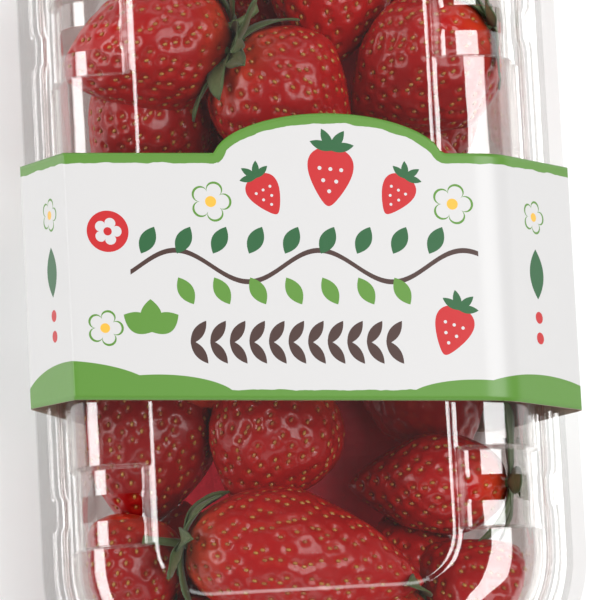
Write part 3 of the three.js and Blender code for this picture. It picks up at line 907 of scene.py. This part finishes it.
class LidShape:
    """Where the lid's skin lies, with its notches, and where its slots are open."""

    def __init__(self):
        self.full, shoulder = lid_profile(0, 0)
        self.low, _ = lid_profile(NOTCH_DROP, NOTCH_DRAW)
        self.reach = [0.0]
        for before, after in zip(self.low, self.low[1:]):
            self.reach.append(self.reach[-1] + math.dist(before, after))
        self.slot_start = shoulder + 1
        flat = [i for i, (inset, _) in enumerate(self.low) if inset <= SLOT_INNER_INSET]
        self.slot_end = flat[-1]

    def notch(self, station):
        """How deep in a notch a station is, from 0 to 1."""
        if station[0] != "side":
            return 0.0
        away = abs(abs(station[3]) - NOTCH_Y)
        return smooth((NOTCH_HALF_Y - away) / NOTCH_SIDE + 0.5)

    def snapped(self, station, level):
        """A station and level on a slot's square corner move onto its round one."""
        away = abs(station[3]) - NOTCH_Y
        on_side = math.isclose(abs(away), SLOT_HALF_Y, abs_tol=TOUCH)
        on_end = level in (self.slot_start, self.slot_end)
        inside = self.slot_start <= level <= self.slot_end and abs(away) <= SLOT_HALF_Y + TOUCH
        if station[0] != "side" or not inside or not (on_side or on_end):
            return station, level
        low, high = self.reach[self.slot_start], self.reach[self.slot_end]
        along = self.reach[level]
        centre_s = min(max(along, low + SLOT_ROUND), high - SLOT_ROUND)
        centre_y = min(max(away, SLOT_ROUND - SLOT_HALF_Y), SLOT_HALF_Y - SLOT_ROUND)
        out = Vector((along - centre_s, away - centre_y))
        if abs(out.x) < 1e-9 or abs(out.y) < 1e-9:
            return station, level
        out = out.normalized() * SLOT_ROUND
        along = centre_s + out.x
        row = math.copysign(NOTCH_Y + centre_y + out.y, station[3])
        after = next(i for i, reach in enumerate(self.reach) if reach >= along)
        start = self.reach[after - 1]
        share = (along - start) / (self.reach[after] - start)
        return (*station[:3], row), after - 1 + share

    def place(self, station, level):
        """The skin's point at a station and level."""
        station, level = self.snapped(station, level)
        depth = self.notch(station)
        full_x, full_z = profile_at(self.full, level)
        low_x, low_z = profile_at(self.low, level)
        inset = between(full_x, low_x, depth)
        z = between(full_z, low_z, depth)
        if station[0] == "side" and BEAD_OUTER <= inset < LID_WALL_FOOT:
            away = abs(abs(station[3]) - NOTCH_Y)
            inset += CATCH_DEPTH * smooth((SLOT_HALF_Y + CATCH_PAST_SLOT - away) / CATCH_SIDE)
        x, y = station_place(station, inset)
        return Vector((x + BODY_X, y, z))

    def in_slot(self, station, level):
        """Whether a station and level are on a slot's edge or in it."""
        away = abs(abs(station[3]) - NOTCH_Y)
        return (
            station[0] == "side"
            and away <= SLOT_HALF_Y + TOUCH
            and self.slot_start <= level <= self.slot_end
        )


def lid_skin():
    """The lid's skin with its four notches and open slots."""
    shape = LidShape()
    bm, stations, station_tag, level_tag = lofted(len(shape.full), shape.place)
    holes = [
        face for face in bm.faces
        if len(face.verts) == 4
        and all(shape.in_slot(stations[vert[station_tag]], vert[level_tag]) for vert in face.verts)
    ]
    bmesh.ops.delete(bm, geom=holes, context="FACES")
    return bm


# The card sleeve


def rounded_loop(corners, steps=5):
    """A closed loop through corners, each given with the radius that rounds it."""
    points = []
    for i, (x, z, radius) in enumerate(corners):
        here = Vector((x, z))
        before = Vector(corners[i - 1][:2]) - here
        after = Vector(corners[(i + 1) % len(corners)][:2]) - here
        before.normalize()
        after.normalize()
        half = before.angle(after) / 2
        middle = here + (before + after).normalized() * (radius / math.sin(half))
        start = here + before * (radius / math.tan(half)) - middle
        end = here + after * (radius / math.tan(half)) - middle
        count = max(steps, int(radius))
        points += [middle + start.slerp(end, k / count) * radius for k in range(count + 1)]
    return points


def sleeve_loop():
    """The sleeve's outer face across the pack, from the left foot round to the left again."""
    left = SLEEVE_LOW.x - BODY_X
    right = SLEEVE_HIGH.x - BODY_X
    top = SLEEVE_HIGH.z
    return rounded_loop([
        (-SLEEVE_FOOT_X, 0, 1.2),
        (SLEEVE_FOOT_X, 0, 1.2),
        (right, SLEEVE_RIM_LOW, 0.9),
        (right, SLEEVE_RIM_HIGH, 0.9),
        (SLEEVE_BEND_X, top, SLEEVE_BEND_ROUND),
        (SLEEVE_CREASE_X, top, 0.7),
        (left, SLEEVE_RIM_HIGH, 0.9),
        (left, SLEEVE_RIM_LOW, 0.9),
    ])


def hump_rise(x):
    """How far the hump carries the sleeve's far edge out at a place across the pack."""
    share = (x - HUMP_X) / HUMP_HALF
    if abs(share) >= 1:
        return 0.0
    return HUMP_HEIGHT * (1 - share * share) ** HUMP_POWER


def filled_in(points, longest):
    """The same closed loop with no stretch longer than a length."""
    made = []
    for i, here in enumerate(points):
        after = points[(i + 1) % len(points)]
        count = max(1, math.ceil((after - here).length / longest))
        made += [here.lerp(after, k / count) for k in range(count)]
    return made


def sleeve_skin():
    """The sleeve's outer face, with the card's own coordinates and each point's distance to a cut edge."""
    loop = filled_in(sleeve_loop(), 1.0)
    top = SLEEVE_HIGH.z
    on_top = [i for i, point in enumerate(loop) if point.y >= top - 0.1]
    middle = min(on_top, key=lambda i: abs(loop[i].x))
    loop = loop[middle:] + loop[:middle]
    half = len(loop) // 2
    reach = [0.0]
    for i in range(1, len(loop) + 1):
        reach.append(reach[-1] + (loop[i % len(loop)] - loop[i - 1]).length)
    girth = reach[-1]
    across = [-(r if i < half else r - girth) + loop[0].x for i, r in enumerate(reach[:-1])]
    far = [hump_rise(point.x) if point.y > top - 0.5 else 0.0 for point in loop]
    edge_line = kdtree.KDTree(len(loop))
    for i, rise in enumerate(far):
        edge_line.insert((across[i], SLEEVE_WIDTH + rise, 0), i)
    edge_line.balance()

    bm = bmesh.new()
    card = bm.loops.layers.uv.new("card")
    edge = bm.verts.layers.float.new("edge")
    place_u = bm.verts.layers.float.new("place_u")
    place_v = bm.verts.layers.float.new("place_v")
    station_tag = bm.verts.layers.int.new("station")

    def settle(vert, i, row):
        share = row / SLEEVE_WIDTH
        along = row + far[i] * smooth((share - 0.6) / 0.4)
        y = SLEEVE_Y + (along - SLEEVE_WIDTH / 2) / math.cos(SLEEVE_SKEW)
        y += math.tan(SLEEVE_SKEW) * loop[i].x
        vert.co = Vector((loop[i].x + BODY_X, y, loop[i].y))
        vert[place_u] = across[i]
        vert[place_v] = along
        vert[edge] = min(along, edge_line.find((across[i], along, 0))[2])

    ring = []
    for i in range(len(loop)):
        made = bm.verts.new((0, 0, 0))
        made[station_tag] = i
        settle(made, i, SLEEVE_ROWS[0])
        ring.append(made)
    edges = [bm.edges.new((ring[i - 1], ring[i])) for i in range(len(ring))]
    for row in SLEEVE_ROWS[1:]:
        points, edges = grown_ring(bm, edges)
        for vert in points:
            settle(vert, vert[station_tag], row)
    for face in bm.faces:
        values = [corner.vert[place_u] for corner in face.loops]
        wraps = max(values) - min(values) > girth / 2
        face.material_index = 1 if sum(values) > 0 else 0
        for corner in face.loops:
            u = corner.vert[place_u]
            if wraps and u < 0:
                u += girth
            corner[card].uv = (u / CARD_UNIT, corner.vert[place_v] / CARD_UNIT)
    bmesh.ops.recalc_face_normals(bm, faces=bm.faces)
    return bm


# Berries


def wall_inset(z):
    """How far in the clear wall stands at a height, where the lid is lowest."""
    foot_x, foot_z = TRAY_FOOT
    top_x, top_z = TRAY_WALL_TOP
    start = LID_SHOULDER_Z - SHOULDER_RISE - NOTCH_DROP / 2
    wall = LID_WALL_FOOT + LID_WALL_LEAN + NOTCH_DRAW
    if z <= foot_z:
        share = (foot_z - z) / (foot_z - TRAY_BASE_Z)
        return foot_x + TRAY_BASE_EDGE * (1 - math.sqrt(max(1 - share * share, 0)))
    if z <= top_z:
        return between(foot_x, top_x, (z - foot_z) / (top_z - foot_z))
    if z <= start:
        return wall
    share = min((z - start) / (LID_SHOULDER_Z - NOTCH_DROP - start), 1)
    return wall + SHOULDER_ROUND * (1 - math.sqrt(1 - share * share))


def kept_inside(point):
    """A point of the fruit, pressed back where it would pass through the clear pack or the pad."""
    z = min(max(point.z, PAD_HIGH.z + 0.3), FRUIT_CEILING_Z)
    half_x, half_y, corner = ring_sizes(wall_inset(z) + FRUIT_CLEARANCE)
    x = min(max(point.x - BODY_X, -half_x), half_x)
    y = min(max(point.y, -half_y), half_y)
    past_x = abs(x) - (half_x - corner)
    past_y = abs(y) - (half_y - corner)
    past = math.hypot(past_x, past_y)
    if past_x > 0 and past_y > 0 and past > corner:
        x = math.copysign(half_x - corner + past_x * corner / past, x)
        y = math.copysign(half_y - corner + past_y * corner / past, y)
    return Vector((x + BODY_X, y, z))


def berry_width(share):
    """How wide a berry is at a share of its length from the tip, 1 at its widest."""
    return max(math.sin(math.pi * share ** BERRY_SHOULDER), 0) ** BERRY_FULLNESS


class Berry:
    """One berry: where it lies, its size and its own unevenness."""

    def __init__(self, number, at, size, heading, dip, leaflets, ripeness, fine):
        self.length, self.width = size
        self.leaflets = leaflets
        self.ripeness = ripeness
        self.fine = fine
        self.draw = random.Random(UNEVEN_SEED + number)
        self.shift = Vector([self.draw.uniform(-50, 50) for _ in range(3)])
        turn, down = math.radians(heading), math.radians(dip)
        flat = math.cos(down)
        to_calyx = Vector((-math.cos(turn) * flat, -math.sin(turn) * flat, math.sin(down)))
        lay = Vector((0, 0, 1)).rotation_difference(to_calyx).to_matrix().to_4x4()
        self.frame = Matrix.Translation(at) @ lay @ Matrix.Translation((0, 0, -self.length / 2))

    def skin(self, direction):
        """The smooth skin's point in a direction of the unit ball, with the tip down."""
        share = (1 + direction.z) / 2
        flat = math.hypot(direction.x, direction.y)
        lump = 1
        for depth, waves in (LARGE_LUMPS, SMALL_LUMPS):
            lump += depth * noise.noise(direction * waves + self.shift)
        radius = self.width / 2 * berry_width(share) * lump
        if flat < 1e-9:
            return Vector((0, 0, self.length * share - (CALYX_DIP if share > 0.5 else 0)))
        z = self.length * share
        if share > 0.5:
            z -= CALYX_DIP * math.exp(-((radius / CALYX_DIP_REACH) ** 2))
        return Vector((direction.x / flat * radius, direction.y / flat * radius * BERRY_FLAT, z))

    def pip_directions(self, spacing):
        """Directions of the pips, even over the skin, in spirals with a little play."""
        steps = 60
        area = [0.0]
        for i in range(steps):
            share = (i + 0.5) / steps
            area.append(area[-1] + math.pi * self.width * berry_width(share) * self.length / steps)
        count = int(area[-1] * 1.1 / (spacing * spacing * 0.9))
        directions = []
        golden = math.pi * (3 - math.sqrt(5))
        for n in range(count):
            wanted = area[-1] * (n + 0.5 + self.draw.uniform(-0.3, 0.3)) / count
            after = next(i for i, total in enumerate(area) if total >= wanted)
            share = (after - 1 + (wanted - area[after - 1]) / (area[after] - area[after - 1])) / steps
            if share > LAST_PIP_SHARE:
                continue
            z = 2 * share - 1
            flat = math.sqrt(1 - z * z)
            angle = n * golden + self.draw.uniform(-0.12, 0.12)
            directions.append(Vector((flat * math.cos(angle), flat * math.sin(angle), z)))
        return directions

    def settled(self, point):
        """A point of the berry's own space, in its place in the pack."""
        return kept_inside(self.frame @ point)


def add_berry(bm, berry, pips, depth):
    """Adds a berry's skin with a dimple round each pip."""
    along = bm.verts.layers.float["along"]
    ripeness = bm.verts.layers.float["ripeness"]
    dimple = bm.verts.layers.float["dimple"]
    near = kdtree.KDTree(len(pips))
    for i, pip in enumerate(pips):
        near.insert(berry.skin(pip), i)
    near.balance()
    ball = bmesh.ops.create_icosphere(
        bm, subdivisions=FINE_BALL if berry.fine else COARSE_BALL, radius=1
    )["verts"]
    middle = Vector((0, 0, berry.length * 0.55))
    for vert in ball:
        direction = vert.co.normalized()
        point = berry.skin(direction)
        away = near.find(point)[2]
        sunk = 1 - smooth(away / DIMPLE_REACH)
        inwards = (middle - point).normalized()
        point += inwards * (depth * sunk)
        vert[along] = (1 + direction.z) / 2
        vert[ripeness] = berry.ripeness
        # How sunk each point is; the skin's material also uses it for the painted highlight round each pip.
        vert[dimple] = sunk
        vert.co = berry.settled(point)


def pip_template():
    """Corners and faces of one low, round pip of unit size."""
    bm = bmesh.new()
    bmesh.ops.create_uvsphere(bm, u_segments=6, v_segments=3, radius=1)
    corners = [vert.co.copy() for vert in bm.verts]
    faces = [[vert.index for vert in face.verts] for face in bm.faces]
    bm.free()
    return corners, faces


def pip_placements(berry, pips, depth):
    """Where each of a berry's pips lies, along the berry in its dimple."""
    placements = []
    step = 0.02
    for pip in pips:
        point = berry.skin(pip)
        up = berry.skin((pip + Vector((0, 0, step))).normalized()) - point
        round_way = Vector((0, 0, 1)).cross(pip)
        if round_way.length < TOUCH or up.length < TOUCH:
            continue
        side = berry.skin((pip + round_way.normalized() * step).normalized()) - point
        out = side.cross(up).normalized()
        if out.dot(point - Vector((0, 0, berry.length / 2))) < 0:
            out = -out
        lengthways = (up - out * up.dot(out)).normalized()
        sideways = lengthways.cross(out)
        place = berry.settled(point - out * (depth * PIP_SUNK))
        turned = berry.frame.to_3x3() @ Matrix((
            (sideways.x, lengthways.x, out.x),
            (sideways.y, lengthways.y, out.y),
            (sideways.z, lengthways.z, out.z),
        ))
        sizes = Matrix.Diagonal((PIP_WIDTH / 2, PIP_LENGTH / 2, PIP_HEIGHT))
        placements.append(Matrix.Translation(place) @ (turned @ sizes).to_4x4())
    return placements


def joined_copies(template, placements):
    """One bmesh with a copy of the template at each placement, joined from arrays."""
    corners, faces = template
    points = []
    joined = []
    for placement in placements:
        start = len(points)
        points += [placement @ corner for corner in corners]
        joined += [[start + i for i in face] for face in faces]
    mesh = bpy.data.meshes.new("copies")
    mesh.from_pydata(points, [], joined)
    bm = bmesh.new()
    bm.from_mesh(mesh)
    bpy.data.meshes.remove(mesh)
    return bm


def add_leaflet(bm, berry, angle, length, width, lift, curl):
    """Adds one leaflet that springs from the berry's top at an angle round it."""
    middle = bm.verts.layers.float["middle"]
    grid = bmesh.ops.create_grid(bm, x_segments=12, y_segments=4, size=1)["verts"]
    outward = Vector((math.cos(angle), math.sin(angle), 0))
    sideways = Vector((-math.sin(angle), math.cos(angle), 0))
    twist = berry.draw.uniform(-0.35, 0.35)
    for vert in grid:
        along = (vert.co.x + 1) / 2
        side = vert.co.y
        breadth = width / 2 * 2.6 * along ** 0.55 * (1 - along) ** 0.8 + 0.25 * (1 - along)
        tilt = lift + curl * along
        run = length * along
        point = Vector((0, 0, berry.length - 1.4)) + outward * (1.2 + run * math.cos(tilt * 0.6))
        point.z += run * math.sin(tilt * 0.6)
        fold = 0.35 * abs(side) * breadth + twist * side * along * breadth
        ripple = 0.25 * math.sin(along * 11 + side * 2) * along
        point += sideways * (side * breadth)
        point.z += fold + ripple
        vert[middle] = (1 - abs(side)) * (1 - along * 0.6)
        vert.co = berry.settled(point)


def add_stem(bm, berry):
    """Adds a short bent stem on a berry's calyx."""
    middle = bm.verts.layers.float["middle"]
    lean = berry.draw.uniform(0, 2 * math.pi)
    start = Vector((0, 0, berry.length - 2.2))
    ring = bmesh.ops.create_circle(bm, segments=8, radius=STEM_RADIUS)["verts"]
    edges = list({edge for vert in ring for edge in vert.link_edges})
    for vert in ring:
        vert[middle] = 0.7
        vert.co = berry.settled(start + vert.co)
    height = berry.draw.uniform(*STEM_LENGTH)
    for share, radius in STEM_RINGS:
        points, edges = grown_ring(bm, edges)
        bend = STEM_BEND * share * share
        centre = start + Vector((bend * math.cos(lean), bend * math.sin(lean), height * share))
        for i, vert in enumerate(points):
            angle = 2 * math.pi * i / len(points)
            offset = Vector((radius * math.cos(angle), radius * math.sin(angle), 0))
            vert.co = berry.settled(centre + offset)
    bmesh.ops.contextual_create(bm, geom=edges)


def all_berries():
    """Every berry of the heap, the shown ones first."""
    berries = []
    for i, (at, size, heading, dip, leaflets, ripeness) in enumerate(SHOWN_BERRIES):
        berries.append(Berry(i, at, size, heading, dip, leaflets, ripeness, True))
    seed = ROW_SEED

    def draw():
        nonlocal seed
        seed = (seed * DRAW_STEP) % DRAW_RANGE
        return seed / DRAW_RANGE

    for y, z, xs, fine in HIDDEN_ROWS:
        for x in xs:
            growth = 0.94 + 0.14 * draw()
            at = (x, y + 6 * (draw() - 0.5), z)
            size = [side * growth for side in ROW_BERRY_SIZE]
            heading = 360 * draw()
            dip = 24 * (draw() - 0.5)
            number = len(berries)
            berries.append(Berry(number, at, size, heading, dip, 5 if number % 3 == 0 else 0, 0.75, fine))
    return berries


class PUNNET_OT_tray(bpy.types.Operator):
    """Makes the clear tray: a drawn shell with a step, a flange and the hinge strip"""

    bl_idname = "punnet.tray"
    bl_label = "Tray"

    def execute(self, context):
        pack = context.scene.punnet_pack
        bm = tray_skin()
        sheet_of(bm, pack.wall / MM)
        add_piece(bm, "clear_tray", [clear_plastic("tray_plastic", pack)], ["tray"], 50)
        return {"FINISHED"}


class PUNNET_OT_lid(bpy.types.Operator):
    """Makes the clear lid: bead, wall, round shoulder, raised panel, notches and open slots"""

    bl_idname = "punnet.lid"
    bl_label = "Lid"

    def execute(self, context):
        pack = context.scene.punnet_pack
        bm = lid_skin()
        sheet_of(bm, pack.wall / MM)
        add_piece(bm, "clear_lid", [clear_plastic("lid_plastic", pack)], ["lid"], 50)
        return {"FINISHED"}


class PUNNET_OT_sleeve(bpy.types.Operator):
    """Makes the printed card sleeve with its hump"""

    bl_idname = "punnet.sleeve"
    bl_label = "Card sleeve"

    def execute(self, context):
        inks = context.scene.punnet_card
        left = printed_card(inks, "printed_card_left", print_left)
        right = printed_card(inks, "printed_card_right", print_right)
        materials = [left, right, raw_board(inks)]
        piece = add_piece(sleeve_skin(), "card_sleeve", materials, ["sleeve"], 50)
        wall = piece.modifiers.new("Card", "SOLIDIFY")
        wall.thickness = CARD * MM
        wall.offset = -1
        wall.material_offset = 2
        wall.material_offset_rim = 2
        wall.use_even_offset = True
        return {"FINISHED"}


class PUNNET_OT_liner_pad(bpy.types.Operator):
    """Makes the crimson liner pad on the tray's floor"""

    bl_idname = "punnet.liner_pad"
    bl_label = "Liner pad"

    def execute(self, context):
        half_x = (PAD_HIGH.x - PAD_LOW.x) / 2
        bm = bmesh.new()
        bmesh.ops.create_grid(bm, x_segments=36, y_segments=72, size=1)
        thick = PAD_HIGH.z - PAD_LOW.z
        for vert in bm.verts:
            flat = Vector((vert.co.x, vert.co.y))
            corner = max(abs(flat.x), abs(flat.y)) or 1
            squared = (abs(flat.x) ** PAD_SQUARE + abs(flat.y) ** PAD_SQUARE) ** (1 / PAD_SQUARE) or 1
            flat *= corner / squared
            x = BODY_X + flat.x * (half_x - PAD_GAP)
            y = flat.y * (PAD_HIGH.y - PAD_GAP)
            swell = smooth((1 - corner) / PAD_SWELL_SHARE)
            quilt = PAD_QUILT * noise.noise(Vector((x, y, 0)) * PAD_QUILT_WAVES)
            z = PAD_HIGH.z - PAD_SINK - PAD_SWELL * (1 - swell) + quilt
            vert.co = Vector((x, y, z))
        bmesh.ops.recalc_face_normals(bm, faces=bm.faces)
        if sum(face.normal.z for face in bm.faces) < 0:
            bmesh.ops.reverse_faces(bm, faces=bm.faces)
        bmesh.ops.solidify(bm, geom=bm.faces[:], thickness=thick - 1.2)
        pack = context.scene.punnet_pack
        add_piece(bm, "crimson_pad", [pad_weave(pack)], ["liner_pad"], 60)
        return {"FINISHED"}


class PUNNET_OT_strawberries(bpy.types.Operator):
    """Makes the berries with their pips, leaflets and stems"""

    bl_idname = "punnet.strawberries"
    bl_label = "Strawberries"

    def execute(self, context):
        fruit = context.scene.punnet_fruit
        depth = fruit.dimple / MM
        berries = all_berries()
        skin = berry_skin(fruit)
        fine = [berry for berry in berries if berry.fine]
        coarse = [berry for berry in berries if not berry.fine]
        groups = [fine[:9], fine[9:18], fine[18:], coarse]
        placements = []
        leaf_mesh = bmesh.new()
        stem_mesh = bmesh.new()
        leaf_mesh.verts.layers.float.new("middle")
        stem_mesh.verts.layers.float.new("middle")
        for i, group in enumerate(groups):
            bm = bmesh.new()
            for name in ("along", "ripeness", "dimple"):
                bm.verts.layers.float.new(name)
            for berry in group:
                pips = berry.pip_directions(fruit.pip_spacing / MM)
                add_berry(bm, berry, pips, depth)
                if berry.fine:
                    placements += pip_placements(berry, pips, depth)
            add_piece(bm, f"berries_{i + 1}", [skin], ["strawberries"])
        for berry in berries:
            for n in range(berry.leaflets):
                angle = 2 * math.pi * (n + berry.draw.uniform(-0.25, 0.25)) / berry.leaflets
                length = berry.draw.uniform(*LEAFLET_LENGTH)
                width = berry.draw.uniform(*LEAFLET_WIDTH)
                lift = berry.draw.uniform(*LEAFLET_LIFT)
                curl = berry.draw.uniform(*LEAFLET_CURL)
                add_leaflet(leaf_mesh, berry, angle, length, width, lift, curl)
            if berry.leaflets:
                add_stem(stem_mesh, berry)
        add_piece(joined_copies(pip_template(), placements), "berry_pips", [pip_shell(fruit)])
        leaf = leaf_skin(fruit)
        leaves = add_piece(leaf_mesh, "berry_leaflets", [leaf])
        thick = leaves.modifiers.new("Leaf", "SOLIDIFY")
        thick.thickness = LEAFLET_THICK * MM
        bmesh.ops.recalc_face_normals(stem_mesh, faces=stem_mesh.faces)
        add_piece(stem_mesh, "berry_stems", [leaf])
        return {"FINISHED"}


def add_light(name, place, size, power):
    """A rectangular soft light that faces the pack."""
    data = bpy.data.lights.new(name, "AREA")
    data.shape = "RECTANGLE"
    data.size, data.size_y = size
    data.energy = power
    light = bpy.data.objects.new(name, data)
    light.location = place
    light.rotation_mode = "QUATERNION"
    light.rotation_quaternion = (Vector(LIGHT_AIM) - Vector(place)).to_track_quat("-Z", "Y")
    bpy.context.scene.collection.objects.link(light)


class PUNNET_OT_stage(bpy.types.Operator):
    """Makes the floor, the lights and the camera"""

    bl_idname = "punnet.stage"
    bl_label = "Stage"

    def execute(self, context):
        stage = context.scene.punnet_stage
        material, tree, output = new_material("pale_floor")
        cloud = noise_value(tree, object_places(tree), 3, 2)
        colour = blend(tree, cloud, stage.floor[:], (0.94, 0.94, 0.935))
        finish_surface(tree, output, {"Base Color": colour, "Roughness": 0.9})
        bm = bmesh.new()
        bmesh.ops.create_grid(bm, x_segments=8, y_segments=8, size=3)
        mesh = bpy.data.meshes.new("floor")
        bm.to_mesh(mesh)
        bm.free()
        mesh.materials.append(material)
        floor = bpy.data.objects.new("floor", mesh)
        context.scene.collection.objects.link(floor)

        world = context.scene.world or bpy.data.worlds.new("studio")
        context.scene.world = world
        world.use_nodes = True
        background = world.node_tree.nodes["Background"]
        background.inputs["Color"].default_value = (1, 0.995, 0.985, 1)
        background.inputs["Strength"].default_value = stage.sky
        add_light("key_light", KEY_PLACE, KEY_SIZE, stage.key)
        for name, place, share in SIDE_LIGHTS:
            add_light(name, place, SIDE_SIZE, stage.side * share)

        data = bpy.data.cameras.new("photo_view")
        data.sensor_width = SENSOR
        data.lens = LENS
        data.clip_start = 0.05
        data.clip_end = 20
        camera = bpy.data.objects.new("photo_view", data)
        eye = Vector(EYE) * MM
        look = Vector(AIM) * MM - eye
        camera.rotation_mode = "QUATERNION"
        upright = look.to_track_quat("-Z", "Y")
        roll = Matrix.Rotation(-VIEW_TURN, 3, "Z").to_quaternion()
        camera.rotation_quaternion = upright @ roll
        camera.location = eye
        context.scene.collection.objects.link(camera)
        context.scene.camera = camera
        context.scene.view_settings.view_transform = "Standard"
        context.scene.cycles.transparent_max_bounces = 32
        return {"FINISHED"}


OPERATORS = (
    PUNNET_OT_stage,
    PUNNET_OT_liner_pad,
    PUNNET_OT_strawberries,
    PUNNET_OT_tray,
    PUNNET_OT_lid,
    PUNNET_OT_sleeve,
)


class PUNNET_PT_sidebar(bpy.types.Panel):
    """Lists the punnet's pieces and settings."""

    bl_idname = "PUNNET_PT_sidebar"
    bl_label = "Punnet"
    bl_space_type = "VIEW_3D"
    bl_region_type = "UI"
    bl_category = "Punnet"

    def draw(self, context):
        for operator in OPERATORS:
            self.layout.operator(operator.bl_idname)
        for name in SETTINGS:
            group = getattr(context.scene, name)
            for field in group.__annotations__:
                self.layout.prop(group, field)


SETTINGS = {
    "punnet_pack": PunnetPackSettings,
    "punnet_card": PunnetCardSettings,
    "punnet_fruit": PunnetFruitSettings,
    "punnet_stage": PunnetStageSettings,
}


def register():
    """Registers the settings, the operators and the panel."""
    for name, group in SETTINGS.items():
        bpy.utils.register_class(group)
        setattr(bpy.types.Scene, name, bpy.props.PointerProperty(type=group))
    for operator in OPERATORS:
        bpy.utils.register_class(operator)
    bpy.utils.register_class(PUNNET_PT_sidebar)


def unregister():
    """Takes back what register added."""
    bpy.utils.unregister_class(PUNNET_PT_sidebar)
    for operator in reversed(OPERATORS):
        bpy.utils.unregister_class(operator)
    for name, group in SETTINGS.items():
        delattr(bpy.types.Scene, name)
        bpy.utils.unregister_class(group)


def main():
    """Makes every piece in order."""
    register()
    for operator in OPERATORS:
        group, name = operator.bl_idname.split(".")
        getattr(getattr(bpy.ops, group), name)()


if __name__ == "__main__":
    main()
